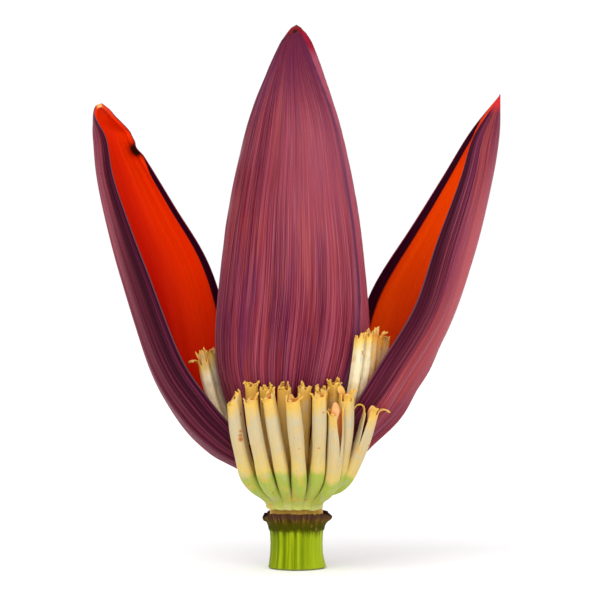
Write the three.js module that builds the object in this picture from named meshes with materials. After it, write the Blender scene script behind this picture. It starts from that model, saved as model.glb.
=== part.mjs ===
// A banana blossom, cut from its plant and standing on its own stem.
// The closed bud sits between two bracts that have folded open, and a hand of finger flowers
// fills the axil of each opened bract. Millimetres, +Z up, the front towards -Y, and the
// origin at the middle of the flat cut end of the stem.
import * as THREE from "three";
import { LoftGeometry } from "three/addons/geometries/LoftGeometry.js";

// Driving dimensions
const STEM_RADIUS = 15;
const STEM_TOP = 24; // where the stem ends and the scars of the shed bracts begin
const RACHIS_TOP = 55; // the inner stalk that carries flowers and bud
const RACHIS_TOP_RADIUS = 10;
const GAP = 0.35; // clearance between neighbouring pieces
const BUD_LEAN = 1.2; // how far the bud's axis stands left of the stem at mid height
const BUD_FLATTENING = 0.85; // depth of the bud against its width
const BUD_TIP = 289;
const BUD_LAYER = 2.2; // one bract and the space under it
const BUD_GAP = 0.6; // the space itself, wide enough for flat facets to stay apart
const HEART_DEPTH = 3.25; // the rolled heart lies this many layers in
const BRACT_THICKNESS = 2.2; // an opened bract at its midrib
const CURL_LIMIT = 0.14; // its thickness against the radius that it curls to
const FOOT_GROWTH = 30; // its thickness grows from nothing at the foot, over its whole length
const TIP_GROWTH = 24; // and the same from the tip
const FLOWER_RADIUS = 3.7;
const FLOWER_SIDES = 8;
const FLOWER_STEPS = 8;

const blossom = new THREE.Group();

const degrees = THREE.MathUtils.degToRad;
const mix = THREE.MathUtils.lerp;

function material(color, roughness) {
  return new THREE.MeshStandardMaterial({ color, roughness, metalness: 0 });
}

const STEM_GREEN = material(0xa5b832, 0.5);
const DRIED_SCAR = material(0x4f3140, 0.8);
const BRACT_PURPLE = material(0x87374b, 0.5);
const BRACT_PINK = material(0xa04b5c, 0.5);
const BRACT_ORANGE = material(0xe12d00, 0.45);
const FLOWER_CREAM = material(0xd7c8a0, 0.6);

function addPiece(name, geometry, finish) {
  const mesh = new THREE.Mesh(geometry, finish);
  mesh.name = name;
  blossom.add(mesh);
}

// A point at a distance from the axis, turned from the front towards +X
function around(radius, azimuth, height, flattening = 1) {
  const angle = degrees(azimuth);
  return new THREE.Vector3(radius * Math.sin(angle), -radius * flattening * Math.cos(angle), height);
}

// A smooth run through control values, one step of t for each
function smoothRun(points) {
  return new THREE.CatmullRomCurve3(points, false, "catmullrom", 0.5);
}

// Stem and rachis: one stalk, cut flat below, narrowing where the flowers leave it
function stalk() {
  const edge = 0.8;
  const profile = [
    [0, 0],
    [STEM_RADIUS - edge, 0],
    [STEM_RADIUS, edge],
    [STEM_RADIUS - 0.4, STEM_TOP / 2],
    [STEM_RADIUS, STEM_TOP],
    [STEM_RADIUS - 1.6, 30],
    [12.2, 36],
    [11, 48],
    [RACHIS_TOP_RADIUS, RACHIS_TOP],
    [0, RACHIS_TOP],
  ];
  const sides = 24;
  return new THREE.LatheGeometry(profile.map(([r, z]) => new THREE.Vector2(r, z)), sides).rotateX(
    Math.PI / 2,
  );
}

// Collar: the dried rim left by the bracts that were torn off, higher at its two corners
function tornCollar() {
  const foot = 22;
  const rim = 28;
  const inner = STEM_RADIUS + GAP;
  const profile = [
    [inner, foot],
    [inner + 1, foot + 0.6],
    [inner + 2.3, rim],
    [inner + 1.2, rim + 0.4],
    [inner, foot + 3],
    [inner, foot],
  ];
  const sides = 32;
  const collar = new THREE.LatheGeometry(profile.map(([r, z]) => new THREE.Vector2(r, z)), sides);
  collar.rotateX(Math.PI / 2);
  const corner = 1;
  const ripple = 0.35;
  const position = collar.attributes.position;
  for (let i = 0; i < position.count; i++) {
    const turn = Math.atan2(position.getX(i), -position.getY(i));
    const rimShare = Math.max(0, (position.getZ(i) - STEM_TOP) / (rim - STEM_TOP));
    const lift = corner * Math.sin(turn) ** 6 + ripple * Math.sin(9 * turn);
    position.setZ(i, position.getZ(i) + rimShare * lift);
  }
  return collar;
}

// Bud: the spindle that its outermost bract would follow
const BUD_OUTLINE = new THREE.SplineCurve(
  [
    [8, 56],
    [28, 70],
    [39.3, 97],
    [42.3, 122],
    [39, 160],
    [34.3, 196],
    [25.2, 237],
    [15.5, 263],
    [8, 279],
    [0, BUD_TIP],
  ].map(([halfWidth, height]) => new THREE.Vector2(halfWidth, height)),
);

function budHalfWidth(height) {
  let low = 0;
  let high = 1;
  for (let step = 0; step < 30; step++) {
    const middle = (low + high) / 2;
    if (BUD_OUTLINE.getPoint(middle).y < height) low = middle;
    else high = middle;
  }
  return Math.max(0, BUD_OUTLINE.getPoint(low).x);
}

// Layers lie a full bract apart along the body and close up towards the tip
function layerStep(height) {
  return BUD_LAYER * THREE.MathUtils.clamp((BUD_TIP + 1 - height) / 35, 0.1, 1);
}

function onBud(height, azimuth, depth) {
  const point = around(Math.max(0, budHalfWidth(height) - depth), azimuth, height, BUD_FLATTENING);
  const bow = BUD_LEAN * (1 - (height / BUD_TIP) ** 2);
  return point.setX(point.x - bow);
}

// Rows lie closer together towards the foot and the tip, where the body curves most
function easedShare(share) {
  return (1 - Math.cos(Math.PI * share)) / 2;
}

// One rolled bract of the bud, between its left and right edges. It thins out to its edges
// and its foot, and its edges come together at the tip.
function budBract({ layer, foot, tip, leftEdge, rightEdge, closing, tipAzimuth }) {
  const rows = 20;
  const across = 12;
  const footSlope = 1 / 6; // thickness gained with height
  const tipFade = 3; // thickness left as the edges draw together
  const sections = [];
  for (let row = 0; row <= rows; row++) {
    const height = mix(foot, tip, easedShare(row / rows));
    const pastShoulder = Math.max(0, (height - (tip - closing)) / closing);
    const spread = Math.sqrt(Math.max(0, 1 - pastShoulder ** 2));
    const left = mix(tipAzimuth, leftEdge.getPoint(easedShare(row / rows)).x, spread);
    const right = mix(tipAzimuth, rightEdge.getPoint(easedShare(row / rows)).x, spread);
    const full = layerStep(height) * (1 - BUD_GAP / BUD_LAYER);
    const thickness = Math.max(0, Math.min(full, (height - foot) * footSlope, spread * tipFade));
    const surface = layer * layerStep(height);
    const section = [];
    for (let i = 0; i <= across; i++) {
      section.push(onBud(height, mix(left, right, i / across), surface));
    }
    for (let i = across - 1; i > 0; i--) {
      const depth = thickness * Math.sqrt(Math.sin((Math.PI * i) / across));
      section.push(onBud(height, mix(left, right, i / across), surface + depth));
    }
    sections.push(section);
  }
  return new LoftGeometry(sections);
}

function edgeRun(...azimuths) {
  return smoothRun(azimuths.map((azimuth) => new THREE.Vector3(azimuth, 0, 0)));
}

// Heart of the bud: the bracts still rolled tightly together, seen at the very tip
function budHeart() {
  const rows = 20;
  const sides = 24;
  const foot = RACHIS_TOP + 1.6;
  const sections = [];
  for (let row = 0; row <= rows; row++) {
    const height = mix(foot, BUD_TIP, easedShare(row / rows));
    const depth = HEART_DEPTH * layerStep(height);
    const section = [];
    for (let i = 0; i < sides; i++) {
      section.push(onBud(height, (360 * i) / sides, depth));
    }
    sections.push(section);
  }
  return new LoftGeometry(sections, { capStart: true });
}

// Opened bract: a boat whose keel is its outer outline. Each station gives the keel's distance
// from the axis and height, how far the section leans, the radius that the bract curls to, and
// how far it curls to the front and to the back.
function openedBract(side, stations, rows, across) {
  const keel = smoothRun(stations.map((s) => new THREE.Vector3(side * s.keel[0], s.drift, s.keel[1])));
  const curl = smoothRun(stations.map((s) => new THREE.Vector3(s.radius, s.front, s.back)));
  const lean = smoothRun(stations.map((s) => new THREE.Vector3(s.lean, 0, 0)));
  const sections = [];
  for (let row = 0; row <= rows; row++) {
    const t = row / rows;
    const edge = keel.getPoint(t);
    const { x: radius, y: front, z: back } = curl.getPoint(t);
    const tilt = degrees(lean.getPoint(t).x);
    const outward = new THREE.Vector3(side * Math.cos(tilt), 0, -Math.sin(tilt));
    const full = Math.min(BRACT_THICKNESS, CURL_LIMIT * radius, FOOT_GROWTH * t, TIP_GROWTH * (1 - t));
    const at = (share, depth) => {
      const angle = degrees(mix(-front, back, share));
      const reach = Math.max(0, radius - depth);
      return edge
        .clone()
        .addScaledVector(outward, reach * Math.cos(angle) - radius)
        .add(new THREE.Vector3(0, reach * Math.sin(angle), 0));
    };
    const section = [];
    for (let i = 0; i <= across; i++) section.push(at(i / across, 0));
    for (let i = across - 1; i > 0; i--) {
      section.push(at(i / across, full * Math.sqrt(Math.sin((Math.PI * i) / across))));
    }
    sections.push(side > 0 ? section : section.reverse());
  }
  return new LoftGeometry(sections);
}

const LEFT_BRACT = [
  { keel: [13.2, 46], drift: 0, lean: 0, radius: 13.2, front: 72, back: 72 },
  { keel: [22, 48.6], drift: 2, lean: 18, radius: 17, front: 72, back: 70 },
  { keel: [32, 53], drift: 4, lean: 34, radius: 22, front: 72, back: 74 },
  { keel: [46.5, 60.6], drift: 6, lean: 45, radius: 29.5, front: 72, back: 86 },
  { keel: [62, 78], drift: 6, lean: 37, radius: 33.5, front: 70, back: 98 },
  { keel: [76, 105], drift: 5, lean: 23, radius: 33, front: 66, back: 112 },
  { keel: [93.5, 153], drift: 4, lean: 16, radius: 26.5, front: 66, back: 138 },
  { keel: [101.5, 183.5], drift: 3, lean: 13, radius: 21.5, front: 64, back: 139 },
  { keel: [106.4, 208], drift: 2, lean: 8, radius: 17, front: 62, back: 139 },
  { keel: [108.3, 230], drift: 1, lean: 0, radius: 11.5, front: 65, back: 138 },
  { keel: [104.5, 245.4], drift: 0, lean: -10, radius: 0, front: 65, back: 137 },
];

const RIGHT_BRACT = [
  { keel: [13.2, 46.5], drift: 0, lean: 0, radius: 13.2, front: 42, back: 72 },
  { keel: [21.5, 50], drift: 0, lean: 8, radius: 20.5, front: 46, back: 72 },
  { keel: [30, 55.6], drift: 0, lean: 17, radius: 28, front: 54, back: 72 },
  { keel: [39.8, 65], drift: 1, lean: 28, radius: 35, front: 64, back: 74 },
  { keel: [54.7, 79.3], drift: 1, lean: 36, radius: 35, front: 74, back: 88 },
  { keel: [64.5, 95.8], drift: 2, lean: 30, radius: 30, front: 78, back: 100 },
  { keel: [82.8, 131.8], drift: 2, lean: 21, radius: 25, front: 79, back: 120 },
  { keel: [95.8, 168], drift: 1, lean: 18, radius: 23, front: 83, back: 127 },
  { keel: [105, 204], drift: 0, lean: 9, radius: 17, front: 92, back: 122 },
  { keel: [108.8, 230], drift: 0, lean: 3, radius: 11, front: 104, back: 118 },
  { keel: [108.5, 252], drift: 0, lean: 0, radius: 0, front: 99, back: 124 },
];

// Flower: a curved finger, thin at its green foot, fullest above its middle
function flower(path, fullness) {
  const spine = new THREE.CatmullRomCurve3(path);
  const girth = smoothRun(
    [0.52, 0.72, 0.84, 0.97, 1, 0.95, 0.9].map((share) => new THREE.Vector3(share * fullness, 0, 0)),
  );
  const foot = path[0];
  const sideways = new THREE.Vector3(-foot.y, foot.x, 0).normalize();
  const sections = [];
  for (let step = 0; step <= FLOWER_STEPS; step++) {
    const t = step / FLOWER_STEPS;
    const centre = spine.getPointAt(t);
    const along = spine.getTangentAt(t);
    const across = sideways.clone().addScaledVector(along, -sideways.dot(along)).normalize();
    const upright = new THREE.Vector3().crossVectors(along, across);
    const radius = girth.getPoint(t).x;
    const section = [];
    for (let i = 0; i < FLOWER_SIDES; i++) {
      const angle = (2 * Math.PI * i) / FLOWER_SIDES;
      section.push(
        centre
          .clone()
          .addScaledVector(across, radius * Math.cos(angle))
          .addScaledVector(upright, radius * Math.sin(angle)),
      );
    }
    sections.push(section);
  }
  return new LoftGeometry(sections, { capStart: true, capEnd: true });
}

// A hand: flowers side by side, each turning from its place on the rachis to its place at the
// tips. The climb lists distance from the axis and height, from foot to tip.
function hand(prefix, climb, flattening, flowers) {
  flowers.forEach(({ foot, tip, stretch = 0, outward = 0, fullness = FLOWER_RADIUS }, index) => {
    const last = climb.length - 1;
    const path = climb.map(([radius, height], step) => {
      const share = step / last;
      const azimuth = mix(foot, tip, Math.min(1, 1.25 * share));
      const round = mix(1, flattening, share);
      return around(radius + outward * share, azimuth, height + stretch * share, round);
    });
    addPiece(`${prefix}_${index + 1}`, flower(path, fullness), FLOWER_CREAM);
  });
}

addPiece("stem", stalk(), STEM_GREEN);
addPiece("torn_bract_collar", tornCollar(), DRIED_SCAR);

addPiece(
  "bud_front_bract",
  budBract({
    layer: 0,
    foot: 58,
    tip: 283.5,
    leftEdge: edgeRun(-70, -94, -98, -96, -94, -90),
    rightEdge: edgeRun(25, 50, 70, 65, 67, 70),
    closing: 9,
    tipAzimuth: -8,
  }),
  BRACT_PURPLE,
);
addPiece(
  "bud_right_bract",
  budBract({
    layer: 1,
    foot: 58,
    tip: 281.5,
    leftEdge: edgeRun(5, 25, 40, 35, 35, 40),
    rightEdge: edgeRun(165, 195, 205, 200, 195, 190),
    closing: 12,
    tipAzimuth: 115,
  }),
  BRACT_PINK,
);
addPiece(
  "bud_back_bract",
  budBract({
    layer: 2,
    foot: 58,
    tip: 280,
    leftEdge: edgeRun(150, 155, 160, 160, 160, 165),
    rightEdge: edgeRun(280, 300, 305, 300, 300, 295),
    closing: 14,
    tipAzimuth: 232,
  }),
  BRACT_PURPLE,
);
addPiece("bud_heart", budHeart(), BRACT_PURPLE);

addPiece("left_open_bract", openedBract(-1, LEFT_BRACT, 24, 12), BRACT_ORANGE);
addPiece("right_open_bract", openedBract(1, RIGHT_BRACT, 24, 12), BRACT_ORANGE);

hand(
  "front_flower",
  [
    [14.8, 31.6],
    [24, 37],
    [32, 46.5],
    [38.5, 63],
    [43.5, 80],
    [47, 95],
  ],
  1.03,
  [
    { foot: -64, tip: -42 },
    { foot: -44, tip: -28.5, stretch: 2 },
    { foot: -24, tip: -16, stretch: 2 },
    { foot: -4, tip: -1.5 },
    { foot: 16, tip: 13.5, stretch: 1, fullness: 3.5 },
    { foot: 36, tip: 23, stretch: -3, fullness: 3.3 },
    { foot: 56, tip: 34, fullness: 3.5 },
    { foot: 78, tip: 48, stretch: -14, outward: 3.5 },
  ],
);
hand(
  "second_flower",
  [
    [14.8, 38.6],
    [19.5, 46],
    [25.5, 56],
    [30.6, 67],
    [35.4, 80],
    [39, 96],
  ],
  1,
  [
    { foot: -50, tip: -34, stretch: 3, fullness: 3.1 },
    { foot: -32, tip: -21, stretch: 2, fullness: 3.1 },
    { foot: -14, tip: -8.5, stretch: 4, fullness: 3.1 },
    { foot: 6, tip: 5, stretch: 2, fullness: 3.1 },
    { foot: 24, tip: 17.5, fullness: 3 },
    { foot: 42, tip: 29.5, stretch: 2, fullness: 3 },
  ],
);

const AXIL_CLIMB = [
  [14, 52],
  [20, 57],
  [26, 62],
  [31.5, 68],
  [37.5, 78],
  [42, 90],
  [45, 102],
  [47, 113],
];
hand(
  "left_axil_flower",
  AXIL_CLIMB,
  0.9,
  [-90, -102.5, -115, -127.5, -140].map((tip) => ({ foot: mix(-115, tip, 1.45), tip, outward: 1 })),
);
hand("right_axil_flower", AXIL_CLIMB, 0.9, [
  { foot: 50, tip: 48, stretch: 10, fullness: 3.4 },
  { foot: 66, tip: 62, stretch: 11, fullness: 3.4 },
  { foot: 82, tip: 78, stretch: 12, fullness: 3.5 },
  { foot: 98, tip: 92, stretch: 12, fullness: 3.5 },
  { foot: 114, tip: 105, stretch: 8, fullness: 3.5 },
  { foot: 130, tip: 118, stretch: 6, fullness: 3.5 },
]);

export default blossom;
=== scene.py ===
import functools
import math
import random

import bpy
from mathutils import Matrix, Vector


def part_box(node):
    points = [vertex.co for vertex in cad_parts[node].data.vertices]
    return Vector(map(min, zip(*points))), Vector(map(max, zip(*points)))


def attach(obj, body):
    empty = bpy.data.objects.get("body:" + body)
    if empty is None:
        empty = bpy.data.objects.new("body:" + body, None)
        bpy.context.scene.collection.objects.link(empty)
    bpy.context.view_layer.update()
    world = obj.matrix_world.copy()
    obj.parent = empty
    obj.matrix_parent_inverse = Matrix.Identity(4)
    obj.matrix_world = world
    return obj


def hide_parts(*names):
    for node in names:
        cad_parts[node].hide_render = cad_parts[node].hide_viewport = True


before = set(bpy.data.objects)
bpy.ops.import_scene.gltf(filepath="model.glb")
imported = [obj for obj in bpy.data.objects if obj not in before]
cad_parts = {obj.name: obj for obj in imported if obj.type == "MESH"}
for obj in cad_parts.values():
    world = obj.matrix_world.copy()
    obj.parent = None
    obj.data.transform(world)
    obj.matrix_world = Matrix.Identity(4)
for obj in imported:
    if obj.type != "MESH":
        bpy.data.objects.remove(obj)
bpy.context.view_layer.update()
bpy.context.tool_settings.mesh_select_mode = (False, False, True)

# ---------------------------------------------------------------------------------------------
# Stem. The blossom's cut stalk: crisp wet green tissue with faint ribs, sliced flat below, that
# goes on as the thinner rachis between the flowers. A sliver of skin stands off at the cut.
MM = 0.001
STEM_RADIUS, _, RACHIS_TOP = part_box("stem")[1]


def mix(a, b, share):
    return a + (b - a) * share


def hump(value, centre, width):
    """1 at the centre, falling smoothly to 0 a width away."""
    away = abs(value - centre) / width
    return math.cos(math.pi / 2 * away) ** 2 if away < 1 else 0.0


def ease(value, start, end):
    """0 before start, 1 after end, and a soft step between."""
    share = min(max((value - start) / (end - start), 0.0), 1.0)
    return share * share * (3 - 2 * share)


def smooth_run(stops, share):
    """A smooth curve through equally spaced stops, at a share of its way from 0 to 1."""
    last = len(stops) - 1
    place = min(max(share, 0.0), 1.0) * last
    i = min(int(place), last - 1)
    t = place - i
    b, c = Vector(stops[i]), Vector(stops[i + 1])
    a = Vector(stops[i - 1]) if i > 0 else 2 * b - c
    d = Vector(stops[i + 2]) if i + 2 <= last else 2 * c - b
    return 0.5 * (2 * b + (c - a) * t + (2 * a - 5 * b + 4 * c - d) * t**2 + (3 * b - a - 3 * c + d) * t**3)


def colour(red, green, blue):
    """A screen colour, 0 to 255, as the linear value that a shader takes."""
    linear = []
    for channel in (red, green, blue):
        value = channel / 255
        linear.append(value / 12.92 if value <= 0.04045 else ((value + 0.055) / 1.055) ** 2.4)
    return (*linear, 1.0)


def add_node(tree, kind, inputs=None, **settings):
    made = tree.nodes.new(kind)
    for key, value in settings.items():
        setattr(made, key, value)
    for key, value in (inputs or {}).items():
        if isinstance(value, bpy.types.NodeSocket):
            tree.links.new(value, made.inputs[key])
        else:
            made.inputs[key].default_value = value
    return made


def maths(tree, operation, a, b):
    return add_node(tree, "ShaderNodeMath", {0: a, 1: b}, operation=operation).outputs[0]


def plus(tree, a, b):
    return maths(tree, "ADD", a, b)


def minus(tree, a, b):
    return maths(tree, "SUBTRACT", a, b)


def times(tree, a, b):
    return maths(tree, "MULTIPLY", a, b)


def tint(tree, share, under, over):
    """Lays one colour over another by a share."""
    made = add_node(tree, "ShaderNodeMix", data_type="RGBA")
    for index, value in ((0, share), (6, under), (7, over)):
        if isinstance(value, bpy.types.NodeSocket):
            tree.links.new(value, made.inputs[index])
        else:
            made.inputs[index].default_value = value
    return made.outputs[2]


def colour_run(tree, share, stops):
    """A run through screen colours, each with its place from 0 to 1."""
    made = add_node(tree, "ShaderNodeValToRGB", {0: share})
    first, last = made.color_ramp.elements
    first.position, first.color = stops[0][0], colour(*stops[0][1])
    last.position, last.color = stops[-1][0], colour(*stops[-1][1])
    for position, shade in stops[1:-1]:
        made.color_ramp.elements.new(position).color = colour(*shade)
    return made.outputs[0]


def grade(tree, value, low, high):
    """Stretches low..high to 0..1, softly, and holds the rest."""
    made = tree.nodes.new("ShaderNodeMapRange")
    made.interpolation_type = "SMOOTHSTEP"
    ends = ((1, low), (2, high), (3, 0.0), (4, 1.0))
    fixed = not isinstance(low, bpy.types.NodeSocket) and not isinstance(high, bpy.types.NodeSocket)
    if fixed and low > high:
        ends = ((1, high), (2, low), (3, 1.0), (4, 0.0))
    for index, end in ((0, value), *ends):
        if isinstance(end, bpy.types.NodeSocket):
            tree.links.new(end, made.inputs[index])
        else:
            made.inputs[index].default_value = end
    return made.outputs[0]


def spot(tree, place, centre, near, far):
    """1 within near of a point, fading to 0 at far."""
    away = add_node(tree, "ShaderNodeVectorMath", {0: place, 1: centre}, operation="DISTANCE")
    return grade(tree, away.outputs["Value"], far, near)


def own_place(tree):
    """A point of the piece in its own metres."""
    return add_node(tree, "ShaderNodeTexCoord").outputs["Object"]


def sheet_place(tree):
    """A point of a sheet, and how far across and along it lies, from 0 to 1."""
    uv = add_node(tree, "ShaderNodeUVMap", uv_map="UVMap").outputs[0]
    parts = add_node(tree, "ShaderNodeSeparateXYZ", {0: uv})
    return uv, parts.outputs[0], parts.outputs[1]


def mottling(tree, place, scale, detail):
    noise = {"Vector": place, "Scale": scale, "Detail": detail}
    return add_node(tree, "ShaderNodeTexNoise", noise).outputs[0]


def make_streaks():
    """Fibres that run along Y of the vector given, Count of them to each unit of X."""
    group = bpy.data.node_groups.new("lengthwise_fibres", "ShaderNodeTree")
    face = group.interface
    face.new_socket(name="Vector", in_out="INPUT", socket_type="NodeSocketVector")
    for name in ("Count", "Stretch", "Seed"):
        face.new_socket(name=name, in_out="INPUT", socket_type="NodeSocketFloat")
    face.new_socket(name="Mask", in_out="OUTPUT", socket_type="NodeSocketFloat")
    given = group.nodes.new("NodeGroupInput")
    result = group.nodes.new("NodeGroupOutput")
    parts = add_node(group, "ShaderNodeSeparateXYZ", {0: given.outputs["Vector"]})
    across = times(group, parts.outputs[0], given.outputs["Count"])
    along = times(group, parts.outputs[1], given.outputs["Stretch"])
    deep = plus(group, parts.outputs[2], given.outputs["Seed"])
    place = add_node(group, "ShaderNodeCombineXYZ", {0: across, 1: along, 2: deep})
    noise = {"Vector": place.outputs[0], "Scale": 1.0, "Detail": 3.0, "Roughness": 0.6}
    fibre = add_node(group, "ShaderNodeTexNoise", noise)
    group.links.new(grade(group, fibre.outputs[0], 0.28, 0.72), result.inputs["Mask"])
    return group


STREAKS = make_streaks()


def streaks(tree, vector, count, stretch, seed):
    made = add_node(tree, "ShaderNodeGroup", node_tree=STREAKS)
    tree.links.new(vector, made.inputs["Vector"])
    made.inputs["Count"].default_value = count
    made.inputs["Stretch"].default_value = stretch
    made.inputs["Seed"].default_value = seed
    return made.outputs["Mask"]


def new_finish(name):
    """A material with a bare Principled shader, ready for its colours."""
    made = bpy.data.materials.new(name)
    made.use_nodes = True
    tree = made.node_tree
    tree.nodes.clear()
    shader = tree.nodes.new("ShaderNodeBsdfPrincipled")
    output = tree.nodes.new("ShaderNodeOutputMaterial")
    tree.links.new(shader.outputs[0], output.inputs[0])
    return made, tree, shader


def coat(tree, shader, body, roughness=0.5, specular=0.5):
    """Gives the shader its body colour and how rough and how shiny it is."""
    tree.links.new(body, shader.inputs["Base Color"])
    shader.inputs["Roughness"].default_value = roughness
    shader.inputs["Specular IOR Level"].default_value = specular


def soften(shader, weight, radius):
    """Lets light into wet tissue, to a depth in metres for red, green and blue."""
    shader.inputs["Subsurface Weight"].default_value = weight
    shader.inputs["Subsurface Radius"].default_value = radius
    shader.inputs["Subsurface Scale"].default_value = 1.0


def raise_relief(tree, shader, height, strength, depth):
    bump = add_node(tree, "ShaderNodeBump", {"Height": height, "Strength": strength, "Distance": depth})
    tree.links.new(bump.outputs[0], shader.inputs["Normal"])


SCAR_SHADE = colour(62, 62, 0)


def stem_green(tree, skin):
    """The green of the stalk in soft uneven ribs, with the masks of its ribs and its fibres."""
    ribs = streaks(tree, skin, 5.0, 12.0, 3.0)
    fine = streaks(tree, skin, 34.0, 30.0, 8.0)
    greens = [(0.1, (96, 114, 0)), (0.5, (126, 142, 0)), (0.95, (160, 176, 22))]
    body = colour_run(tree, ribs, greens)
    return tint(tree, times(tree, fine, 0.25), body, colour(104, 122, 0)), ribs, fine


def round_place(tree):
    """A point of the stalk, the two as turn and height, its distance to the right, and its height."""
    place = own_place(tree)
    parts = add_node(tree, "ShaderNodeSeparateXYZ", {0: place})
    right, back, height = parts.outputs
    turn = maths(tree, "ARCTAN2", right, back)
    skin = add_node(tree, "ShaderNodeCombineXYZ", {0: turn, 1: height}).outputs[0]
    return place, skin, right, height


def band(tree, height, low, high):
    """0 under a height and 1 over another, both in millimetres."""
    return grade(tree, height, low * MM, high * MM)


def stem_finish():
    made, tree, shader = new_finish("stem_green")
    _, skin, right, height = round_place(tree)
    body, ribs, fine = stem_green(tree, skin)
    lit_side = times(tree, grade(tree, right, 1 * MM, 11 * MM), 0.55)
    body = tint(tree, lit_side, body, colour(172, 192, 30))
    ragged = minus(tree, height, times(tree, ribs, 5 * MM))
    under_scar = times(tree, band(tree, ragged, 14.5, 20.5), 0.85)
    body = tint(tree, under_scar, body, SCAR_SHADE)
    torn_ring = tint(tree, fine, colour(224, 182, 92), colour(172, 122, 26))
    body = tint(tree, band(tree, height, 27.5, 29), body, torn_ring)
    body = tint(tree, band(tree, height, 32, 36), body, colour(186, 200, 104))
    body = tint(tree, band(tree, height, 0.3, 1.4), colour(120, 126, 60), body)
    coat(tree, shader, body, roughness=0.4, specular=0.05)
    soften(shader, 0.12, (0.004, 0.005, 0.001))
    raise_relief(tree, shader, plus(tree, ribs, times(tree, fine, 0.4)), 0.35, 0.0005)
    return made


def dress(piece, node):
    """Hangs a finished piece on the root body and hides the CAD node that it stands for."""
    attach(piece, "root")
    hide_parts(node)


def apply_modifiers(piece):
    bpy.context.view_layer.objects.active = piece
    for modifier in list(piece.modifiers):
        bpy.ops.object.modifier_apply(modifier=modifier.name)


STEM_SIDES = 96
CUT_EDGE = 0.8 * MM
# In millimetres: how much slimmer than its foot the stalk is at each height, and the rachis's radii.
STALK = [(0.35, 3), (0.9, 8), (1.1, 13), (0.9, 18), (0.3, 23), (0.7, 27), (0.9, 30), (1.2, 32)]
RACHIS = [(12.3, 34), (12.0, 39), (11.2, 44), (10.7, 49)]
stem_profile = [(STEM_RADIUS, CUT_EDGE)]
stem_profile += [(STEM_RADIUS - less * MM, height * MM) for less, height in STALK]
stem_profile += [(radius * MM, height * MM) for radius, height in RACHIS]
stem_profile += [(10.0 * MM, RACHIS_TOP)]
bpy.ops.object.select_all(action="DESELECT")
bpy.ops.mesh.primitive_circle_add(
    vertices=STEM_SIDES, radius=STEM_RADIUS - CUT_EDGE, fill_type="NOTHING", location=(0, 0, 0)
)
stem = bpy.context.object
stem.name = stem.data.name = "cut_stem"
bpy.ops.object.mode_set(mode="EDIT")
last_radius, last_height = STEM_RADIUS - CUT_EDGE, 0.0
for radius, height in stem_profile:
    bpy.ops.mesh.extrude_edges_move(TRANSFORM_OT_translate={"value": (0, 0, height - last_height)})
    grow = radius / last_radius
    bpy.ops.transform.resize(value=(grow, grow, 1), center_override=(0, 0, height))
    last_radius, last_height = radius, height
bpy.ops.mesh.select_all(action="SELECT")
bpy.ops.mesh.fill_holes(sides=0)
bpy.ops.mesh.normals_make_consistent(inside=False)
bpy.ops.object.mode_set(mode="OBJECT")
for polygon in stem.data.polygons:
    polygon.select = polygon.center.z < 0.01 * MM
bpy.ops.object.mode_set(mode="EDIT")
bpy.ops.mesh.inset(thickness=2.2 * MM, depth=0)
bpy.ops.mesh.inset(thickness=4 * MM, depth=-0.35 * MM)
bpy.ops.object.mode_set(mode="OBJECT")
RIBS = 11
for vertex in stem.data.vertices:
    turn = math.atan2(vertex.co.x, -vertex.co.y)
    if vertex.co.z > CUT_EDGE / 2:
        swell = 0.08 * math.cos(RIBS * turn + 0.7) + 0.16 * math.cos(5 * turn + 20 * vertex.co.z)
        flare = 0.9 * hump(turn, 1.45, 0.35) * (1 - ease(vertex.co.z, 0.0, 7 * MM))
        vertex.co.xy *= 1 + (swell + flare) * MM / STEM_RADIUS
bpy.ops.object.shade_smooth_by_angle(angle=math.radians(40))
stem.data.materials.append(stem_finish())
dress(stem, "stem")

# ---------------------------------------------------------------------------------------------
# Torn collar. What is left where the outer bracts were pulled off: a thin dried rim, dark
# purple-brown, standing a little off the stem, ragged along its top and higher at two corners.


def collar_finish():
    made, tree, shader = new_finish("dried_rim")
    place, skin, _, level = round_place(tree)
    crumple = mottling(tree, place, 420.0, 5.0)
    height = plus(tree, level, times(tree, minus(tree, crumple, 0.5), 6 * MM))
    browns = [(0.0, (38, 26, 0)), (0.5, (80, 58, 6)), (1.0, (122, 92, 34))]
    dried = colour_run(tree, streaks(tree, skin, 16.0, 60.0, 5.0), browns)
    body = tint(tree, band(tree, height, 17, 22), stem_green(tree, skin)[0], SCAR_SHADE)
    body = tint(tree, band(tree, height, 22.5, 27.5), body, dried)
    body = tint(tree, times(tree, band(tree, height, 25.5, 28.5), 0.75), body, colour(66, 38, 36))
    flecks = times(tree, grade(tree, crumple, 0.62, 0.72), 0.5)
    body = tint(tree, flecks, body, colour(142, 112, 64))
    coat(tree, shader, body, roughness=0.7, specular=0.04)
    raise_relief(tree, shader, crumple, 0.8, 0.8 * MM)
    return made


COLLAR_SIDES = 200
COLLAR_THICKNESS = 0.8 * MM
COLLAR_RINGS = 14
COLLAR_FOOT = 20.5 * MM
COLLAR_TOP = 29.9 * MM
COLLAR_TEARS = 50
bpy.ops.object.select_all(action="DESELECT")
bpy.ops.mesh.primitive_circle_add(
    vertices=COLLAR_SIDES, radius=STEM_RADIUS - 0.6 * MM, fill_type="NOTHING", location=(0, 0, COLLAR_FOOT)
)
collar = bpy.context.object
bpy.ops.object.transform_apply(location=True, rotation=True, scale=True)
collar.name = collar.data.name = "torn_collar"
bpy.ops.object.mode_set(mode="EDIT")
for ring in range(COLLAR_RINGS):
    bpy.ops.mesh.extrude_edges_move(
        TRANSFORM_OT_translate={"value": (0, 0, (COLLAR_TOP - COLLAR_FOOT) / COLLAR_RINGS)}
    )
bpy.ops.mesh.select_all(action="SELECT")
bpy.ops.mesh.normals_make_consistent(inside=False)
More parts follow.
